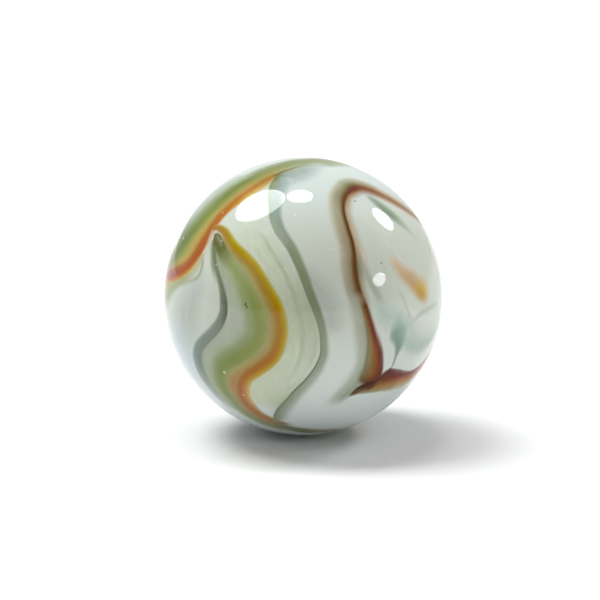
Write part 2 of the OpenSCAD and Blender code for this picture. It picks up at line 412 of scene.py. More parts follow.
ribbon(
    "arch",
    [(152, 36, 3, 3), (131, 28, 4, 4), (112, 24, 4.5, 4.5), (99, 27.2, 5, 4.5), (89.8, 33.2, 6, 4.5),
     (82.8, 38.2, 6, 4.5), (76, 43.1, 6, 4.5), (67.1, 50.2, 6.5, 5), (58.9, 55.8, 7, 5.5),
     (50.5, 59, 7.5, 6), (43, 59.3, 8, 6), (36.5, 57.6, 8, 5.6), (31, 55.2, 8, 5), (26.8, 51.3, 8, 4.8),
     (24.4, 46, 8, 4.8), (24, 40, 8, 4.8), (24.2, 33.5, 7.8, 4.8), (23.9, 28, 7.8, 4.8),
     (23.3, 23, 7.8, 4.8), (23.2, 17.5, 7.4, 4.6), (24.1, 12, 7, 4.4), (25.5, 7, 6.4, 3.6),
     (27.2, 2, 5.4, 3)],
    [(0, [(-1, (198, 198, 184), 0), (-0.4, (176, 156, 120), 0.8), (0, (150, 104, 60)),
          (0.4, (168, 142, 120), 0.8), (1, (198, 190, 180), 0)]),
     (4, [(-1, (192, 192, 176), 0), (-0.5, (176, 158, 122), 0.9), (-0.2, (154, 122, 74)),
          (0.05, (134, 94, 44)), (0.3, (152, 114, 76)), (0.55, (178, 158, 142), 0.8),
          (1, (200, 192, 182), 0)]),
     (7, [(-1, (190, 190, 174), 0), (-0.6, (180, 176, 152), 0.8), (-0.3, (164, 142, 108)),
          (-0.06, (132, 94, 52)), (0.12, (132, 94, 56)), (0.35, (150, 118, 78)),
          (0.6, (174, 156, 138), 0.9), (1, (196, 192, 182), 0)]),
     (8, [(-1, (190, 192, 178), 0), (-0.7, (172, 173, 152), 0.8), (-0.45, (158, 148, 122)),
          (-0.2, (132, 104, 66)), (0, (112, 64, 10)), (0.16, (116, 70, 38)), (0.35, (142, 108, 80)),
          (0.6, (156, 140, 132), 0.9), (1, (180, 182, 174), 0)]),
     (10, [(-1, (190, 196, 186), 0), (-0.75, (171, 171, 155), 0.9), (-0.5, (144, 147, 122)),
           (-0.28, (112, 108, 68)), (-0.1, (92, 58, 6)), (0.04, (94, 28, 0)), (0.2, (100, 28, 2)),
           (0.36, (126, 80, 40)), (0.52, (146, 120, 98), 0.9), (0.75, (160, 150, 140), 0.7),
           (1, (186, 186, 176), 0)]),
     (12, [(-1, (192, 198, 188), 0), (-0.75, (179, 178, 162), 0.9), (-0.5, (150, 142, 120)),
           (-0.3, (124, 124, 98)), (-0.12, (100, 82, 40)), (0.02, (90, 48, 0)), (0.14, (116, 74, 32)),
           (0.3, (150, 124, 98)), (0.5, (164, 152, 138), 0.9), (1, (186, 186, 174), 0)]),
     (14, [(-1, (198, 204, 196), 0), (-0.78, (190, 191, 177), 0.9), (-0.6, (171, 171, 149)),
           (-0.45, (157, 156, 132)), (-0.24, (148, 142, 114)), (-0.1, (112, 92, 60)),
           (-0.02, (84, 58, 28)), (0.05, (96, 70, 38)), (0.14, (154, 134, 108)),
           (0.32, (175, 160, 138)), (0.55, (178, 174, 152), 0.8), (1, (190, 192, 180), 0)]),
     (16, [(-1, (198, 202, 190), 0), (-0.78, (188, 185, 168), 0.9), (-0.58, (166, 160, 138)),
           (-0.42, (155, 147, 122)), (-0.23, (144, 130, 104)), (-0.11, (112, 88, 62)),
           (-0.02, (92, 66, 42)), (0.05, (104, 78, 52)), (0.14, (166, 142, 114)),
           (0.32, (184, 168, 142)), (0.55, (180, 174, 152), 0.8), (1, (190, 190, 178), 0)]),
     (18, [(-1, (196, 200, 188), 0), (-0.78, (180, 175, 155), 0.9), (-0.5, (160, 153, 130)),
           (-0.28, (140, 126, 98)), (-0.14, (106, 80, 54)), (-0.02, (98, 70, 46)),
           (0.07, (108, 82, 54)), (0.18, (136, 122, 90)), (0.36, (143, 140, 114)),
           (0.55, (152, 147, 128), 0.9), (1, (186, 182, 166), 0)]),
     (20, [(-1, (192, 194, 182), 0), (-0.76, (169, 166, 149), 0.9), (-0.5, (156, 150, 127)),
           (-0.26, (127, 112, 82)), (-0.1, (110, 78, 52)), (0.02, (103, 69, 46)),
           (0.16, (142, 118, 92)), (0.34, (168, 160, 136), 0.9), (0.6, (176, 177, 158), 0.7),
           (1, (182, 186, 172), 0)]),
     (22, [(-1, (186, 188, 176), 0), (-0.6, (160, 160, 142), 0.9), (-0.3, (140, 120, 90)),
           (0, (112, 72, 40)), (0.25, (130, 100, 72)), (0.6, (172, 164, 148), 0.8),
           (1, (182, 186, 172), 0)])], fade=(2, 1.5), jitter=0.03)

ribbon(
    "arch_tint",
    [(27.4, 33, 1.2, 1.2), (28.2, 28, 1.7, 1.7), (28.6, 23, 1.7, 1.7), (30, 18, 1.2, 1.2)],
    soft((200, 184, 172), 0.7), fade=(1, 1))

ribbon(
    "arch_shade",
    [(26.2, 27, 1.2, 1.4), (26.9, 22, 1.8, 2), (28.6, 17, 2.2, 2.6), (30.6, 12.6, 2.2, 3),
     (32.4, 8.6, 2, 2.6), (33.4, 5, 1.4, 1.8)],
    soft((160, 166, 150), 0.75), fade=(1, 1.5))

ribbon(
    "blade_shade",
    [(20.5, 14, 2.6, 3), (21.5, 9, 4.4, 4), (22.8, 3, 5, 4.6), (24.2, -4, 5.4, 5), (25.6, -11, 5.4, 5),
     (26, -18, 5.8, 5), (23.5, -25, 6.2, 5), (19, -31.5, 5.6, 4.4), (14, -36.5, 4.4, 3.6),
     (8, -40.5, 3, 2.4)],
    [(0, [(-1, (192, 194, 182), 0), (-0.3, (174, 172, 156), 0.8), (0.3, (158, 154, 134), 0.9),
          (1, (150, 130, 100), 0.2)]),
     (2, [(-1, (192, 196, 186), 0), (-0.5, (176, 178, 164), 0.9), (0, (160, 165, 148)),
          (0.4, (152, 152, 130)), (1, (130, 120, 96), 0.8)]),
     (4, [(-1, (194, 198, 190), 0), (-0.5, (174, 180, 166), 0.9), (0, (160, 166, 148)),
          (0.4, (154, 156, 138)), (1, (134, 130, 106), 0.8)]),
     (7, [(-1, (206, 210, 206), 0), (-0.4, (176, 185, 172), 0.9), (0.2, (154, 163, 146)),
          (0.5, (150, 158, 140)), (1, (150, 156, 136), 0.4)]),
     (9, [(-1, (208, 214, 210), 0), (0, (190, 198, 190), 0.6), (1, (204, 210, 206), 0)])],
    fade=(1, 1.5), jitter=0.04)

ribbon(
    "inner_white",
    [(31, 50, 3, 3), (38, 46, 6, 6), (44, 38, 8, 9), (47, 28, 11, 12), (50, 16, 14, 13),
     (52, 4, 13, 12), (52, -8, 10, 10)],
    soft((202, 206, 194), 0.8), fade=(1.5, 2))

ribbon(
    "second_blade",
    [(22.2, -34.3, 0.5, 0.6), (26.4, -31.6, 2.2, 2), (31, -29.9, 4.2, 2.4), (36, -28.4, 6, 3),
     (41, -27.1, 7.4, 5.8), (46.6, -26.8, 8.6, 4.2), (52.6, -27.2, 8.8, 2.7), (59, -27.4, 8.2, 1.8),
     (66, -26.4, 6.8, 2.2), (73, -23.6, 6.4, 2.6), (82, -18.2, 6.4, 3), (92, -12.5, 6.6, 3),
     (106, -9.5, 6, 2.6), (120, -12, 4.5, 2.2), (134, -21, 3, 1.8), (144, -33, 2, 1.2)],
    [(0, [(-1, (150, 156, 136), 0), (-0.3, (110, 100, 78)), (0.4, (84, 74, 54)),
          (1, (120, 124, 110), 0)]),
     (2, [(-1, (160, 156, 128), 0), (-0.7, (144, 136, 104), 0.9), (-0.4, (134, 116, 84)),
          (-0.15, (112, 86, 60)), (0.1, (84, 54, 32)), (1, (78, 43, 27), 0.6)]),
     (3, [(-1, (178, 172, 144), 0), (-0.82, (162, 150, 116), 0.9), (-0.6, (157, 132, 90)),
          (-0.35, (150, 112, 64)), (-0.15, (138, 94, 46)), (0.05, (118, 70, 30)), (0.5, (92, 40, 8)),
          (1, (88, 40, 20), 0.6)]),
     (4, [(-1, (188, 188, 166), 0), (-0.85, (164, 156, 124), 0.9), (-0.62, (156, 130, 84)),
          (-0.4, (154, 112, 62)), (-0.18, (132, 74, 32)), (0.05, (112, 46, 14)), (0.35, (94, 40, 22)),
          (0.65, (86, 38, 26)), (0.85, (108, 84, 74), 0.9), (1, (160, 154, 148), 0)]),
     (5, [(-1, (190, 190, 170), 0), (-0.74, (156, 143, 105), 0.9), (-0.5, (156, 118, 67)),
          (-0.28, (140, 90, 48)), (-0.06, (122, 46, 4)), (0.16, (104, 32, 4)), (0.45, (100, 52, 46)),
          (0.65, (108, 76, 78)), (0.85, (134, 118, 118), 0.9), (1, (170, 168, 164), 0)]),
     (6, [(-1, (204, 200, 180), 0), (-0.76, (191, 182, 157), 0.9), (-0.54, (173, 148, 110)),
          (-0.34, (168, 116, 64)), (-0.12, (136, 70, 22)), (0.1, (112, 34, 4)), (0.35, (108, 46, 26)),
          (0.55, (114, 80, 78)), (0.78, (138, 124, 126), 0.9), (1, (176, 174, 172), 0)]),
     (8, [(-1, (206, 198, 174), 0), (-0.74, (184, 162, 116), 0.8), (-0.5, (162, 120, 50)),
          (-0.28, (146, 78, 2)), (-0.05, (118, 38, 2)), (0.2, (110, 34, 12)), (0.5, (138, 92, 60)),
          (0.75, (170, 146, 128), 0.8), (1, (196, 184, 174), 0)]),
     (13, [(-1, (206, 200, 180), 0), (-0.5, (178, 132, 74), 0.9), (0, (124, 50, 14)),
           (0.5, (150, 112, 84), 0.8), (1, (190, 182, 170), 0)])], fade=(0.6, 2.5), jitter=0.03)

ribbon(
    "blade",
    [(24.5, 11.5, 2, 1.3), (25.4, 8, 2.5, 1.6), (26.5, 4.5, 2.9, 2), (27.7, 0.5, 3.3, 2.2),
     (29.1, -4, 3.8, 2.5), (30.7, -9, 4.8, 3.1), (31.9, -14, 5.8, 3.6), (32.6, -18.5, 6.6, 3.8),
     (32.3, -22.5, 7, 4.6), (30.8, -26, 7, 5.4), (27.4, -29.5, 5, 4.6)],
    [(0, [(-1, (150, 142, 116), 0), (-0.6, (134, 110, 74)), (-0.1, (116, 78, 50)),
          (0.25, (106, 66, 44)), (0.6, (140, 116, 92), 0.9), (1, (168, 158, 140), 0)]),
     (2, [(-1, (150, 146, 126), 0), (-0.6, (128, 104, 68)), (-0.25, (112, 70, 20)), (0, (92, 48, 0)),
          (0.25, (102, 66, 24)), (0.6, (150, 134, 112), 0.8), (1, (178, 174, 158), 0)]),
     (4, [(-1, (150, 148, 128), 0.3), (-0.72, (130, 116, 84)), (-0.42, (130, 100, 52)),
          (-0.2, (120, 66, 24)), (0, (102, 38, 4)), (0.3, (116, 68, 52)), (0.55, (158, 136, 126), 0.9),
          (1, (178, 174, 167), 0)]),
     (6, [(-1, (156, 156, 134), 0.4), (-0.82, (130, 128, 98)), (-0.55, (133, 117, 76)),
          (-0.25, (132, 88, 40)), (0, (128, 64, 8)), (0.25, (112, 42, 2)), (0.5, (104, 50, 22)),
          (0.78, (128, 112, 104), 0.9), (1, (168, 168, 162), 0)]),
     (8, [(-1, (146, 146, 124), 0.5), (-0.76, (124, 115, 84)), (-0.5, (124, 106, 70)),
          (-0.2, (128, 88, 48)), (0.05, (126, 70, 22)), (0.35, (114, 54, 12)), (0.62, (102, 42, 10)),
          (0.85, (92, 42, 26)), (1, (112, 82, 74), 0.3)]),
     (10, [(-1, (140, 138, 116), 0.2), (-0.7, (108, 98, 72)), (-0.3, (90, 62, 38)), (0.2, (80, 48, 28)),
           (0.7, (84, 44, 22)), (1, (100, 60, 34), 0.4)])], fade=(1.5, 0.6), jitter=0.03)

ribbon(
    "blade_line",
    [(24.6, 5.5, 0.5, 0.5), (25.9, 0, 0.7, 0.6), (26.9, -5, 0.8, 0.7), (27.4, -10, 0.8, 0.8),
     (27.5, -15, 0.8, 0.8), (26.9, -20, 0.8, 0.8), (25.6, -25, 0.7, 0.7)],
    soft((112, 113, 86), 0.8), fade=(1.5, 1.5), jitter=0.05)

ribbon(
    "tip_line",
    [(22.2, -34.4, 0.4, 0.4), (23.9, -31.9, 0.8, 0.8), (25.9, -29.9, 1.3, 1.3), (28.6, -28.8, 1.8, 1.8),
     (32.2, -27.9, 2, 2), (35.8, -26.3, 1.9, 1.9), (38.6, -24.4, 1.6, 1.5), (40.6, -22.5, 1.1, 1),
     (42.2, -20.6, 0.5, 0.5)],
    [(0, [(-1, (120, 116, 96), 0), (-0.2, (88, 80, 58)), (0.3, (84, 74, 52)), (1, (118, 116, 98), 0)]),
     (3, [(-1, (104, 78, 52), 0), (-0.3, (70, 42, 22)), (0.4, (62, 36, 20)), (1, (76, 44, 24), 0)]),
     (7, [(-1, (108, 58, 34), 0), (-0.3, (92, 46, 26)), (0.3, (92, 50, 34)), (1, (124, 98, 86), 0)])],
    fade=(0.8, 0.8), jitter=0.05)

ribbon(
    "sage_streak",
    [(47.5, 54.5, 1, 1.2), (50.3, 51.8, 2.4, 2.8), (53, 48.2, 3.4, 4.2), (55.8, 44, 3.6, 4.8),
     (58.8, 39.6, 3.2, 4.8), (61.8, 35.2, 2.4, 4.2), (64.6, 30.4, 2, 3.4), (67, 26, 1.6, 2.6)],
    [(0, [(-1, (184, 188, 176), 0), (-0.3, (154, 163, 152), 0.9), (0.4, (152, 162, 152), 0.9),
          (1, (180, 190, 176), 0)]),
     (3, [(-1, (176, 186, 172), 0), (-0.5, (132, 148, 130)), (0, (122, 142, 120)),
          (0.35, (144, 161, 139)), (0.65, (176, 191, 170), 0.9), (1, (192, 202, 186), 0)]),
     (6, [(-1, (192, 199, 186), 0), (0, (172, 184, 166), 0.8), (1, (194, 202, 188), 0)])],
    fade=(0.8, 2), jitter=0.15)

ribbon(
    "pale_teal",
    [(29, 11, 2.5, 3), (32, 6, 5, 5), (36, 2, 6.5, 6.5), (41, -1, 6, 6), (47, -4, 5, 5.5),
     (53, -8, 5, 5), (60, -10, 4, 4)],
    soft((178, 193, 182), 1), fade=(1.5, 2))

ribbon(
    "teal_fan",
    [(43, -9, 4, 5), (48, -10.5, 6, 7), (54, -12.5, 7.5, 8), (61, -13.5, 7.5, 8), (68, -12, 7, 7),
     (75, -8, 6, 6), (82, -2, 4, 5)],
    [(0, [(-1, (184, 198, 188), 0), (-0.3, (172, 190, 179), 0.9), (0.3, (176, 192, 182), 0.9),
          (1, (186, 198, 188), 0)]),
     (3, [(-1, (188, 196, 188), 0), (-0.4, (164, 178, 166), 0.9), (0.2, (172, 184, 173), 0.8),
          (1, (188, 196, 188), 0)]),
     (5, [(-1, (186, 192, 182), 0), (-0.2, (160, 170, 154), 0.8), (1, (186, 190, 178), 0)])],
    fade=(1, 2), jitter=0.2)

ribbon(
    "teal_wisp",
    [(41.8, -22, 0.7, 0.7), (42.4, -17.8, 1.1, 1.2), (42.8, -15, 1.9, 2.2), (43.4, -12, 3.8, 4),
     (43.2, -9, 5.4, 5.6), (42.4, -6, 5.8, 6), (42, -3, 5.4, 5), (42.6, 0.6, 4.2, 4.2),
     (44, 4.4, 2.6, 2.6)],
    [(0, [(-1, (110, 96, 84), 0), (0, (92, 72, 58), 0.8), (1, (110, 96, 84), 0)]),
     (1, [(-1, (166, 176, 166), 0), (0, (132, 148, 137)), (1, (166, 174, 164), 0)]),
     (3, [(-1, (174, 190, 180), 0), (-0.3, (138, 162, 150)), (0.4, (124, 150, 137)),
          (1, (180, 196, 186), 0)]),
     (5, [(-1, (178, 192, 182), 0), (-0.6, (152, 174, 161), 0.9), (-0.1, (136, 160, 145)),
          (0.4, (126, 154, 140)), (0.75, (146, 170, 157), 0.9), (1, (180, 194, 184), 0)]),
     (7, [(-1, (186, 196, 187), 0), (0, (162, 180, 168), 0.9), (1, (184, 196, 186), 0)])],
    fade=(0.5, 2), jitter=0.12)

ribbon(
    "pale_arc",
    [(46, 4.5, 0.8, 1), (50, 1, 1.6, 1.8), (56, -2.4, 2, 2.2), (63, -3.6, 2, 2.2), (71, -1, 1.6, 1.8)],
    soft((204, 209, 205), 0.8), fade=(1, 1.2))

ribbon(
    "smoke_arc",
    [(42, 13, 0.7, 0.7), (44.4, 8.6, 0.9, 0.9), (46.2, 4.4, 0.9, 0.9), (48, 0.4, 0.9, 0.9),
     (50, -3, 0.7, 0.7)],
    soft((170, 180, 168), 0.6), fade=(1, 1))

ribbon(
    "right_arc",
    [(76, 1.2, 0.8, 0.8), (66, 0.8, 1.7, 1.7), (57.5, 0, 1.9, 1.9), (52.5, -1.4, 1.5, 1.5),
     (48, -3.8, 0.8, 0.8)],
    soft((164, 177, 158), 0.65), fade=(1, 1.2))

ribbon(
    "amber_spot",
    [(41, 27, 3, 2.6), (43.6, 23, 4.6, 4.4), (46.4, 18.8, 5.2, 5.2), (50.4, 14.8, 5.4, 6.6),
     (54, 11.2, 5.4, 7.6), (57.6, 8, 5.4, 8), (61, 5.2, 4.6, 6.4), (65, 3, 3, 4)],
    [(1, [(-1, (203, 198, 182), 0), (-0.3, (202, 185, 158), 0.8), (0.2, (202, 183, 154), 0.9),
          (1, (204, 200, 184), 0)]),
     (3, [(-1, (198, 192, 176), 0), (-0.4, (192, 168, 132)), (0, (190, 160, 122)),
          (0.4, (194, 172, 140), 0.9), (1, (199, 193, 176), 0)]),
     (5, [(-1, (190, 186, 164), 0), (-0.55, (184, 164, 112), 0.9), (-0.2, (182, 148, 52)),
          (0.1, (188, 154, 60)), (0.4, (196, 172, 104), 0.9), (0.7, (200, 186, 144), 0.7),
          (1, (198, 192, 166), 0)]),
     (7, [(-1, (192, 192, 168), 0), (0, (190, 180, 140), 0.8), (1, (192, 188, 164), 0)])],
    fade=(1.4, 1.6), jitter=0.2)

ribbon(
    "right_smoke",
    [(57, 36, 2.2, 2.2), (61.5, 28, 3.6, 3.6), (64.5, 19, 4, 4), (66.5, 10, 3.6, 3.6),
     (67.5, 1, 2.4, 2.4)],
    soft((197, 203, 186), 0.7), fade=(1.2, 1.2))

ribbon(
    "rim_smoke",
    [(74, 30, 1.6, 1.6), (77, 20, 2.6, 2.6), (78, 8, 3, 3), (77, -3, 2.4, 2.4)],
    soft((178, 186, 170), 0.7), fade=(1, 1))

# Partly a band in the glass and partly painted shade: on the front its darkness stands in for the shade
# and reflection of the ring the ball stood on.
ribbon(
    "bottom_band_and_painted_shade",
    [(-23, -51.8, 1, 1), (-13, -56.4, 3.5, 3.4), (-1, -59.6, 5, 3.4), (12, -61.2, 5.5, 3),
     (24, -62, 5.2, 3.6), (38, -64.8, 4.6, 3), (56, -66, 5, 4), (84, -68, 4, 4), (120, -66, 4, 3),
     (158, -60, 3, 3), (178, -50, 2, 2)],
    [(0, [(-1, (150, 138, 108), 0), (0, (134, 120, 92)), (1, (150, 146, 124), 0)]),
     (2, [(-1, (156, 156, 122), 0.2), (-0.72, (112, 114, 68)), (-0.4, (118, 121, 80)),
          (0.1, (124, 128, 94)), (0.5, (142, 147, 124)), (1, (184, 192, 182), 0)]),
     (4, [(-1, (180, 184, 160), 0), (-0.7, (136, 140, 98)), (-0.3, (144, 150, 118)),
          (0.2, (164, 170, 152), 0.9), (0.55, (182, 188, 176), 0.7), (1, (196, 202, 194), 0)]),
     (7, [(-1, (192, 198, 182), 0), (-0.3, (146, 152, 112), 0.9), (0.3, (164, 140, 84), 0.9),
          (1, (196, 196, 180), 0)])], fade=(0.6, 2))

# The back, which carries the same glass in like swirls.

ribbon(
    "back_leaf",
    [(-106, 54, 1, 1), (-116, 45, 3.6, 4), (-128, 37, 6, 6.4), (-142, 31, 7, 7.4), (-156, 31, 7, 7.4),
     (-168, 38, 5.6, 6), (-175, 49, 3.6, 3.6), (-176, 60, 2, 2)],
    [(0, [(-1, (188, 196, 178), 0), (-0.6, (160, 171, 142), 0.9), (-0.2, (124, 138, 78)),
          (0.2, (112, 126, 50)), (0.5, (152, 140, 78)), (0.75, (166, 112, 40)),
          (1, (190, 168, 120), 0)])], fade=(1, 2))

ribbon(
    "low_leaf",
    [(-92, -18, 1, 1), (-100, -25, 3.4, 3.6), (-111, -31, 5.4, 6), (-124, -32, 6.2, 7),
     (-137, -27, 6, 6.6), (-150, -22, 5.4, 5.6), (-163, -23, 4.2, 4.4), (-174, -31, 2.6, 2.6),
     (179, -40, 1.4, 1.4)],
    [(0, [(-1, (192, 188, 158), 0), (-0.7, (176, 146, 76), 0.9), (-0.35, (166, 110, 30)),
          (0, (148, 138, 84)), (0.35, (122, 136, 74)), (0.7, (154, 166, 136), 0.8),
          (1, (186, 196, 180), 0)])], fade=(1, 2))

ribbon(
    "back_grey",
    [(166, 20, 1, 1.4), (169, 8, 1.8, 2.8), (172, -6, 1.8, 3), (178, -18, 1.8, 3), (-174, -34, 1.8, 3),
     (-162, -46, 1.8, 3.2), (-145, -54, 1.8, 3.4), (-122, -58, 1.6, 3), (-96, -58, 1.4, 2.4),
     (-74, -56, 1, 2)],
    [(0, [(-1, (180, 188, 172), 0), (-0.7, (122, 132, 110)), (-0.2, (134, 144, 120)),
          (0.3, (142, 152, 134), 0.9), (1, (190, 198, 188), 0)])], fade=(1.5, 2))

ribbon(
    "back_wisp",
    [(124, 14, 1.2, 1.4), (131, 8, 3.2, 3.6), (140, 4, 4.4, 5), (149, 6, 4, 4.4), (156, 13, 2.2, 2.4)],
    soft((146, 168, 154), 0.9), fade=(1.2, 1.5), jitter=0.2)

ribbon(
    "back_streak",
    [(100, 52, 1, 1.2), (116, 48, 2.2, 2.6), (132, 50, 2.6, 3), (146, 58, 2, 2.4), (160, 66, 1.4, 1.4)],
    soft((142, 156, 130), 0.9), fade=(1.2, 1.5), jitter=0.15)

ribbon(
    "under_swirl",
    [(-60, -66, 2, 2), (-30, -72, 4, 4), (20, -76, 5, 5), (80, -78, 5, 5), (150, -76, 4, 4),
     (-160, -72, 2, 2)],
    soft((156, 166, 138), 0.9), fade=(1, 1.5), jitter=0.15)


# ----------------------------------------------------------------------- ball

CELLS = 128             # squares along one side of each of the six patches
UV_MARGIN = 0.01
SKIN_SEED = 5
SKIN_WAVES = ((0.0060, 1.1e-6), (0.0042, 0.7e-6), (0.0030, 0.35e-6))  # length, height in metres
WAVES_EACH = 7
RIBBON_STEPS = 14       # points from one station to the next
LEAST_REACH = 0.05      # degrees
RIBBON_END = 1.6        # shares of the reach past which a ribbon paints nothing
FARTHEST_SHARE = 3
FARTHEST_SPOT = 9.0
FLOW_SOFTNESS = 2       # square degrees


def build_ball():
    """A ball of six square patches, with even cells and no poles."""
    side = np.arange(CELLS + 1)
    a, b = np.meshgrid(side, side, indexing="ij")
    a = a.ravel()
    b = b.ravel()
    lattice = []
    for axis in range(3):
        for end in (0, CELLS):
            cell = np.empty((a.size, 3), int)
            cell[:, axis] = end
            cell[:, (axis + 1) % 3] = a if end else b
            cell[:, (axis + 2) % 3] = b if end else a
            lattice.append(cell)
    lattice = np.concatenate(lattice)
    unique, number = np.unique(lattice, axis=0, return_inverse=True)
    number = number.ravel()

    warped = np.tan((unique / CELLS - 0.5) * math.pi / 2)
    dirs = warped / np.linalg.norm(warped, axis=1, keepdims=True)

    per_patch = (CELLS + 1) ** 2
    i, j = np.meshgrid(np.arange(CELLS), np.arange(CELLS), indexing="ij")
    corner = (i * (CELLS + 1) + j).ravel()
    quad = np.stack([corner, corner + CELLS + 1, corner + CELLS + 2, corner + 1], 1)
    quads = np.concatenate([quad + patch * per_patch for patch in range(6)])
    uv = np.empty((6 * per_patch, 2))
    for patch in range(6):
        rows = slice(patch * per_patch, (patch + 1) * per_patch)
        u = UV_MARGIN + (1 - 2 * UV_MARGIN) * a / CELLS
        v = UV_MARGIN + (1 - 2 * UV_MARGIN) * b / CELLS
        uv[rows, 0] = (patch % 3 + u) / 3
        uv[rows, 1] = (patch // 3 + v) / 2
    return dirs, number[quads], uv[quads.ravel()]


def surface_height(dirs):
    """How far the fire-polished skin stands off a true ball, in metres."""
    rng = np.random.default_rng(SKIN_SEED)
    height = np.zeros(len(dirs))
    for wavelength, size in SKIN_WAVES:
        for _ in range(WAVES_EACH):
            way = rng.normal(size=3)
            way /= np.linalg.norm(way)
            phase = rng.uniform(0, 2 * math.pi)
            height += size * np.sin(dirs @ way * RADIUS / wavelength * 2 * math.pi + phase)
    for lon, lat, across, depth in PITS:
        off = np.degrees(np.arccos(np.clip(dirs @ direction(lon, lat), -1, 1)))
        off = off / (across / 2)
        height -= depth * smooth_step(1 - off)
    return height


# Small pits in the skin: longitude, latitude, degrees across, depth in metres.
PITS = [
    (-24, 7.6, 2.0, 4e-5), (-23.2, 6.6, 1.8, 4e-5), (36, 52, 1.8, 2e-5),
    (36, 23, 1.8, 2e-5), (18.5, 26, 1.6, 2e-5),
]

# Dark specks at and beside the pits are painted shade, standing in for the
# shade in them; bright dots are painted highlights, glints off small bubbles
# just under the skin.  Both give longitude, latitude, degrees across.
PIT_SHADE_SPECKS = [
    (-24.0, 7.6, 1.7), (-23.2, 6.7, 1.5), (-23.7, 8.6, 1.1), (36.0, 52.0, 1.5),
    (36.2, 23.2, 1.4), (37.0, 21.4, 1.1), (18.5, 26.0, 1.0),
]
BUBBLE_GLINTS = [
    (-5.0, 46.5, 1.6), (-21.4, 43.5, 1.4), (13.5, 31.0, 1.3), (14.8, 30.6, 1.1),
    (-19.0, 28.0, 1.4), (-8.0, 23.0, 1.4), (-37.0, -23.0, 2.1), (-30.5, -34.0, 1.6),
    (-75.0, 28.0, 1.8), (-41.0, 22.0, 1.4), (16.5, 19.0, 1.3), (-28.6, 59.7, 1.4),
    (-22.9, 59.1, 1.3), (-42.5, 32.0, 1.5), (-60.0, 34.0, 1.3), (-52.0, 44.0, 1.3),
]


def nearest_spot(dirs, spots):
    """Distance to the nearest spot, as a share of half its width."""
    nearest = np.full(len(dirs), FARTHEST_SPOT)
    for lon, lat, across in spots:
        off = np.degrees(np.arccos(np.clip(dirs @ direction(lon, lat), -1, 1)))
        nearest = np.minimum(nearest, off / (across / 2))
    return nearest


def ribbon_line(stations):
    """Points along a ribbon, each with its station number and two reaches."""
    table = np.array(stations, float)
    knots = np.concatenate([direction(table[:, 0], table[:, 1]), table[:, 2:4]], 1)
    first = 2 * knots[0] - knots[1]
    last = 2 * knots[-1] - knots[-2]
    knots = np.vstack([first, knots, last])
    rows = []
    for k in range(len(table) - 1):
        p0, p1, p2, p3 = knots[k:k + 4]
        for f in np.arange(RIBBON_STEPS) / RIBBON_STEPS:
            point = 0.5 * (2 * p1 + (p2 - p0) * f
                           + (2 * p0 - 5 * p1 + 4 * p2 - p3) * f * f
                           + (3 * p1 - p0 - 3 * p2 + p3) * f ** 3)
            rows.append(np.append(point, k + f))
    rows.append(np.append(knots[-2], len(table) - 1))
    rows = np.array(rows)
    points = rows[:, :3] / np.linalg.norm(rows[:, :3], axis=1, keepdims=True)
    return points, np.maximum(rows[:, 3:5], LEAST_REACH), rows[:, 5]


def ribbon_field(dirs, shape):
    """Signed degrees across a ribbon, share of its reach, place along it, strength."""
    points, reach, station = ribbon_line(shape["stations"])
    ahead = np.gradient(points, axis=0)
    pace = np.linalg.norm(ahead, axis=1)
    ahead /= pace[:, None]
    left = np.cross(points, ahead)
    step = np.gradient(station) / pace

    nearest = np.concatenate([
        np.argmax(part @ points.T, axis=1) for part in np.array_split(dirs, 12)])
    off = dirs - points[nearest]
    along = np.einsum("ij,ij->i", off, ahead[nearest])
    across = np.einsum("ij,ij->i", off, left[nearest])
    inner = np.clip(along, -pace[nearest] / 2, pace[nearest] / 2)
    past = along - inner
    at_end = (nearest == 0) | (nearest == len(points) - 1)
    past = np.where(at_end, past, 0.0)
    chord = np.sqrt(across ** 2 + past ** 2)
    degrees = np.degrees(2 * np.arcsin(np.clip(chord / 2, 0, 1))) * np.sign(across)

    where = station[nearest] + inner * step[nearest]
    low = np.interp(where, station, reach[:, 0])
    high = np.interp(where, station, reach[:, 1])
    share = np.where(degrees < 0, degrees / low, degrees / high)

    start, end = shape["fade"]
    strength = np.where(np.abs(share) < RIBBON_END, 1.0, 0.0)
    if start:
        strength *= smooth_step(where / start)
    if end:
        strength *= smooth_step((station[-1] - where) / end)
    share = np.clip(share, -FARTHEST_SHARE, FARTHEST_SHARE)
    return degrees, share, where, strength


def store(mesh, name, values):
    """Keep three numbers for each point of the mesh under one name."""
    layer = mesh.attributes.new(name, "FLOAT_VECTOR", "POINT")
    layer.data.foreach_set("vector", np.ascontiguousarray(values, np.float32).ravel())


def make_ball():
    dirs, quads, uv = build_ball()
    points = dirs * (RADIUS + surface_height(dirs))[:, None] + np.array(CENTRE)
    mesh = bpy.data.meshes.new("swirled_ball")
    mesh.from_pydata(points.tolist(), [], quads.tolist())
    mesh.polygons.foreach_set("use_smooth", np.ones(len(quads), bool))
    chart = mesh.uv_layers.new(name="OFBake")
    chart.data.foreach_set("uv", uv.astype(np.float32).ravel())

    weight_sum = np.full(len(dirs), 1e-9)
    flow = np.zeros(len(dirs))
    for shape in RIBBONS:
        degrees, share, where, strength = ribbon_field(dirs, shape)
        store(mesh, shape["name"], np.stack([share, where, strength], 1))
        weight = 1 / (degrees ** 2 + FLOW_SOFTNESS) ** 1.5
        flow += weight * degrees
        weight_sum += weight
    flow /= weight_sum
    store(mesh, "flow", np.stack([flow, flow * 0, flow * 0], 1))
    # Distances to the painted pit shade and to the painted bubble glints.
    pit_shade = nearest_spot(dirs, PIT_SHADE_SPECKS)
    store(mesh, "spots", np.stack([pit_shade, nearest_spot(dirs, BUBBLE_GLINTS), pit_shade * 0], 1))
    mesh.validate()
    mesh.update()
    return link(bpy.data.objects.new("swirled_ball", mesh))


# ------------------------------------------------------------------- material

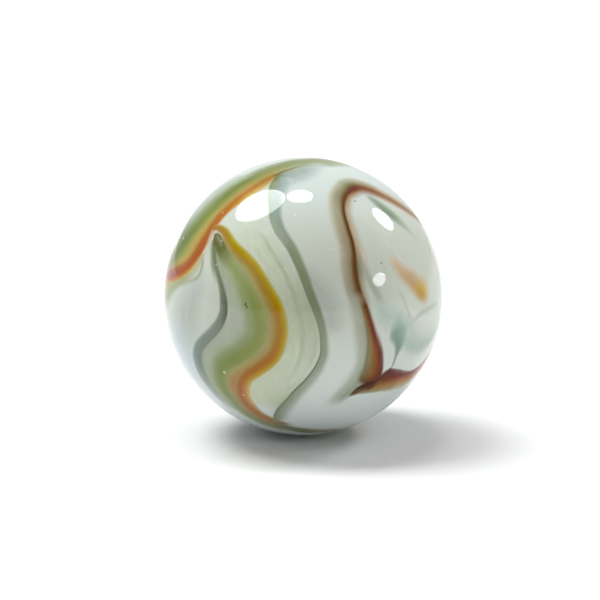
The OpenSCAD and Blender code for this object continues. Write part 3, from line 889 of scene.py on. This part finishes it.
RAMP_END = 1.1          # where a ribbon's colours end, in shares of its reach
STREAK_DEPTH = 0.28
STREAK_SCALE = 900.0
STREAK_ACROSS = 0.00035  # metres for each degree of the flow
STREAK_UP = 0.0006
WOBBLE_SCALE = 350.0
GLOSS_SCALE = 500.0
RIPPLE_SCALE = 900.0
# How strongly the painted shade at the pits shows.
PIT_SHADE_STRENGTH = 0.85
# How strongly the painted glints off bubbles show.
PAINTED_GLINT_STRENGTH = 0.6


class Graph:
    """Short names for making the nodes of one material or world."""

    def __init__(self, tree):
        self.tree = tree

    def node(self, kind, **settings):
        made = self.tree.nodes.new(kind)
        for name, value in settings.items():
            setattr(made, name, value)
        return made

    def join(self, value, socket):
        if isinstance(value, bpy.types.NodeSocket):
            self.tree.links.new(value, socket)
        else:
            socket.default_value = value

    def math(self, operation, a, b=0.0, c=None):
        made = self.node("ShaderNodeMath", operation=operation)
        self.join(a, made.inputs[0])
        self.join(b, made.inputs[1])
        if c is not None:
            self.join(c, made.inputs[2])
        return made.outputs[0]

    def mix(self, factor, a, b):
        made = self.node("ShaderNodeMix", data_type="RGBA", blend_type="MIX")
        self.join(factor, made.inputs[0])
        self.join(a, made.inputs[6])
        self.join(b, made.inputs[7])
        return made.outputs[2]

    def spread(self, value, low, high, to_low=0.0, to_high=1.0, shape="SMOOTHSTEP"):
        made = self.node("ShaderNodeMapRange", interpolation_type=shape)
        self.join(value, made.inputs["Value"])
        self.join(low, made.inputs["From Min"])
        self.join(high, made.inputs["From Max"])
        self.join(to_low, made.inputs["To Min"])
        self.join(to_high, made.inputs["To Max"])
        return made.outputs[0]

    def parts(self, vector):
        made = self.node("ShaderNodeSeparateXYZ")
        self.join(vector, made.inputs[0])
        return made.outputs[0], made.outputs[1], made.outputs[2]

    def attribute(self, name):
        made = self.node("ShaderNodeAttribute", attribute_type="GEOMETRY", attribute_name=name)
        return made.outputs["Vector"]

    def noise(self, vector, scale, detail=2.0, roughness=0.5):
        made = self.node("ShaderNodeTexNoise")
        self.join(vector, made.inputs["Vector"])
        made.inputs["Scale"].default_value = scale
        made.inputs["Detail"].default_value = detail
        made.inputs["Roughness"].default_value = roughness
        return made.outputs["Fac"]

    def ramp(self, factor, stops):
        """Colour and strength from a list of (across, colour, strength)."""
        if stops[0][2] > 0:
            stops = [(-RAMP_END, stops[0][1], 0.0)] + stops
        if stops[-1][2] > 0:
            stops = stops + [(RAMP_END, stops[-1][1], 0.0)]
        made = self.node("ShaderNodeValToRGB")
        band = made.color_ramp
        band.interpolation = "CARDINAL"
        for number, (across, rgb, strength) in enumerate(stops):
            place = (across + RAMP_END) / (2 * RAMP_END)
            if number < 2:
                stop = band.elements[number]
                stop.position = place
            else:
                stop = band.elements.new(place)
            stop.color = colour(rgb, strength)
        self.join(factor, made.inputs["Fac"])
        return made.outputs["Color"], made.outputs["Alpha"]


def ribbon_group(shape):
    """One ribbon as a group of nodes, which lays its glass over what is under it."""
    tree = bpy.data.node_groups.new(shape["name"], "ShaderNodeTree")
    tree.interface.new_socket("Under", in_out="INPUT", socket_type="NodeSocketColor")
    tree.interface.new_socket("Wobble", in_out="INPUT", socket_type="NodeSocketFloat")
    tree.interface.new_socket("Streak", in_out="INPUT", socket_type="NodeSocketFloat")
    tree.interface.new_socket("Over", in_out="OUTPUT", socket_type="NodeSocketColor")
    g = Graph(tree)
    under, wobble, streak = g.node("NodeGroupInput").outputs[:3]
    share, where, strength = g.parts(g.attribute(shape["name"]))
    share = g.math("MULTIPLY_ADD", wobble, shape["jitter"], share)
    place = g.spread(share, -RAMP_END, RAMP_END, shape="LINEAR")
    looks = shape["looks"]
    shade, cover = g.ramp(place, looks[0][1])
    for (before, _), (after, stops) in zip(looks, looks[1:]):
        next_shade, next_cover = g.ramp(place, stops)
        turn = g.spread(where, float(before), float(after))
        shade = g.mix(turn, shade, next_shade)
        gap = g.math("SUBTRACT", next_cover, cover)
        cover = g.math("MULTIPLY_ADD", turn, gap, cover)
    value = g.math("MULTIPLY_ADD", streak, STREAK_DEPTH, 1.0)
    tinted = g.node("ShaderNodeHueSaturation")
    g.join(shade, tinted.inputs["Color"])
    g.join(value, tinted.inputs["Value"])
    cover = g.math("MULTIPLY", cover, strength)
    g.join(g.mix(cover, under, tinted.outputs[0]), g.node("NodeGroupOutput").inputs[0])
    return tree


OPAL_TOP = (193, 203, 198)
OPAL_ABOVE = (196, 202, 190)
# Painted light: the opal is made lighter and bluer towards the bottom, as if lit from below.
OPAL_BELOW_PAINTED_LIGHT = (207, 216, 214)
# Colour of the painted shade at the pits.
PIT_SHADE = (52, 50, 40)
# Colour of the painted glints off bubbles.
PAINTED_GLINT = (228, 234, 220)


def swirled_glass():
    material = bpy.data.materials.new("swirled_glass")
    material.use_nodes = True
    tree = material.node_tree
    tree.nodes.clear()
    g = Graph(tree)
    place = g.node("ShaderNodeTexCoord").outputs["Object"]
    x, y, z = g.parts(place)
    flow = g.parts(g.attribute("flow"))[0]

    streaked = g.node("ShaderNodeCombineXYZ")
    g.join(g.math("MULTIPLY_ADD", flow, STREAK_ACROSS, x), streaked.inputs[0])
    g.join(y, streaked.inputs[1])
    g.join(g.math("MULTIPLY_ADD", flow, STREAK_UP, z), streaked.inputs[2])
    streak = g.math("SUBTRACT", g.noise(streaked.outputs[0], STREAK_SCALE, 3.0, 0.6), 0.5)
    wobble = g.math("SUBTRACT", g.noise(place, WOBBLE_SCALE), 0.5)

    # Painted light: the base turns lighter towards the bottom; near the top it turns cooler.
    rise = g.spread(z, -0.75 * RADIUS, 0.15 * RADIUS)
    shade = g.mix(rise, colour(OPAL_BELOW_PAINTED_LIGHT), colour(OPAL_ABOVE))
    crown = g.spread(z, 0.5 * RADIUS, 0.9 * RADIUS)
    shade = g.mix(crown, shade, colour(OPAL_TOP))
    for shape in RIBBONS:
        layer = g.node("ShaderNodeGroup")
        layer.node_tree = ribbon_group(shape)
        g.join(shade, layer.inputs["Under"])
        g.join(wobble, layer.inputs["Wobble"])
        g.join(streak, layer.inputs["Streak"])
        shade = layer.outputs["Over"]
    pit_shade, glint, _ = g.parts(g.attribute("spots"))
    # Painted shade: dark specks at the pits.
    shade = g.mix(g.spread(pit_shade, 1.0, 0.3, 0.0, PIT_SHADE_STRENGTH), shade, colour(PIT_SHADE))
    # Painted highlights: pale glints off small bubbles.
    shade = g.mix(g.spread(glint, 1.0, 0.2, 0.0, PAINTED_GLINT_STRENGTH), shade, colour(PAINTED_GLINT))

    glass = g.node("ShaderNodeBsdfPrincipled")
    g.join(shade, glass.inputs["Base Color"])
    glass.inputs["IOR"].default_value = 1.45
    glass.inputs["Specular IOR Level"].default_value = 0.35
    glass.inputs["Subsurface Weight"].default_value = 0.12
    glass.inputs["Subsurface Radius"].default_value = (1.0, 1.0, 1.0)
    glass.inputs["Subsurface Scale"].default_value = 0.0004
    gloss = g.noise(place, GLOSS_SCALE, 3.0)
    g.join(g.spread(gloss, 0.3, 0.7, 0.015, 0.035), glass.inputs["Roughness"])
    ripple = g.node("ShaderNodeBump")
    ripple.inputs["Strength"].default_value = 0.15
    ripple.inputs["Distance"].default_value = 2e-6
    g.join(g.noise(place, RIPPLE_SCALE, 3.0), ripple.inputs["Height"])
    g.join(ripple.outputs[0], glass.inputs["Normal"])
    output = g.node("ShaderNodeOutputMaterial")
    g.join(glass.outputs[0], output.inputs["Surface"])
    return material


# ------------------------------------------------- camera, lamps, floor, world

CAMERA_RISE = 12.0          # degrees above the horizon
CAMERA_AWAY = 0.330
CAMERA_LENS = 220.3
AIM_RIGHT = -0.000306
AIM_UP = -0.000342
LAMP_AWAY = 1.5
FLOOR_HALF = 0.9
FLOOR_SHADE = 0.79
MIRRORED_LIGHT = (0.024, 0.8)   # of the surroundings, from the camera's side to the far side
SOFT_LIGHT = (0.472, 0.272)


def make_camera():
    data = bpy.data.cameras.new("camera")
    data.lens = CAMERA_LENS
    data.sensor_width = 36.0
    data.clip_start = 0.01
    camera = link(bpy.data.objects.new("camera", data))
    rise = math.radians(CAMERA_RISE)
    eye = Vector((0, -math.cos(rise), math.sin(rise))) * CAMERA_AWAY
    up = Vector((0, math.sin(rise), math.cos(rise)))
    aim = Vector((AIM_RIGHT, 0, 0)) + up * AIM_UP
    camera.location = CENTRE + eye
    camera.rotation_euler = (aim - eye).to_track_quat("-Z", "Y").to_euler()
    SCENE.camera = camera


def make_lamp(name, toward, across, high, turn, radiance, tint=(1.0, 1.0, 1.0)):
    """A soft oval lamp, as many degrees across, high and turned as seen from the ball."""
    way = Vector(toward).normalized()
    width = 2 * LAMP_AWAY * math.tan(math.radians(across / 2))
    height = 2 * LAMP_AWAY * math.tan(math.radians(high / 2))
    data = bpy.data.lights.new(name, "AREA")
    data.shape = "ELLIPSE"
    data.size = width
    data.size_y = height
    data.energy = radiance * math.pi * width * height
    data.color = tint
    lamp = link(bpy.data.objects.new(name, data))
    lamp.location = CENTRE + way * LAMP_AWAY
    facing = way.to_track_quat("Z", "Y") @ Quaternion((0, 0, 1), math.radians(turn))
    lamp.rotation_euler = facing.to_euler()
    lamp.visible_camera = False


def make_world():
    world = bpy.data.worlds.new("studio")
    SCENE.world = world
    world.use_nodes = True
    tree = world.node_tree
    tree.nodes.clear()
    g = Graph(tree)
    ray = g.node("ShaderNodeLightPath").outputs
    back = g.parts(g.node("ShaderNodeTexCoord").outputs["Generated"])[1]
    seen = g.math("MAXIMUM", ray["Is Camera Ray"], ray["Is Transmission Ray"])
    glossy = ray["Is Glossy Ray"]
    mirrored = g.math("MULTIPLY", glossy, g.spread(back, -0.35, 0.25, *MIRRORED_LIGHT))
    soft = g.math("SUBTRACT", 1.0, g.math("MAXIMUM", seen, glossy))
    soft = g.math("MULTIPLY", soft, g.spread(back, -0.5, 0.5, *SOFT_LIGHT))
    strength = g.math("ADD", g.math("ADD", seen, mirrored), soft)
    background = g.node("ShaderNodeBackground")
    background.inputs["Color"].default_value = (1.0, 1.0, 1.0, 1.0)
    g.join(strength, background.inputs["Strength"])
    output = g.node("ShaderNodeOutputWorld")
    g.join(background.outputs[0], output.inputs["Surface"])


def make_floor():
    h = FLOOR_HALF
    z = LOW[2]
    mesh = bpy.data.meshes.new("floor")
    mesh.from_pydata([(-h, -h, z), (h, -h, z), (h, h, z), (-h, h, z)], [], [(0, 1, 2, 3)])
    floor = link(bpy.data.objects.new("floor", mesh))
    material = bpy.data.materials.new("pale_floor")
    material.use_nodes = True
    material.node_tree.nodes.clear()
    g = Graph(material.node_tree)
    matt = g.node("ShaderNodeBsdfDiffuse")
    matt.inputs["Color"].default_value = (FLOOR_SHADE, FLOOR_SHADE, FLOOR_SHADE, 1.0)
    output = g.node("ShaderNodeOutputMaterial")
    g.join(matt.outputs[0], output.inputs["Surface"])
    mesh.materials.append(material)


SCENE.view_settings.view_transform = "Standard"
make_camera()
make_lamp("key_lamp", (-0.432, 0.226, 0.873), across=30, high=30, turn=0, radiance=10.4,
          tint=(0.97, 1.0, 1.0))
make_lamp("top_lamp", (-0.036, 0.212, 0.977), across=16, high=16, turn=0, radiance=9.6)
make_lamp("right_lamp", (0.696, 0.376, 0.612), across=14.5, high=14.5, turn=0, radiance=12.0)
make_lamp("side_lamp", (0.8965, -0.3465, 0.2765), across=13, high=8.5, turn=12, radiance=11.0,
          tint=(0.93, 0.97, 1.0))
make_world()
make_floor()

ball = make_ball()
ball.data.materials.append(swirled_glass())
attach(ball, "root")
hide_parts("marble")
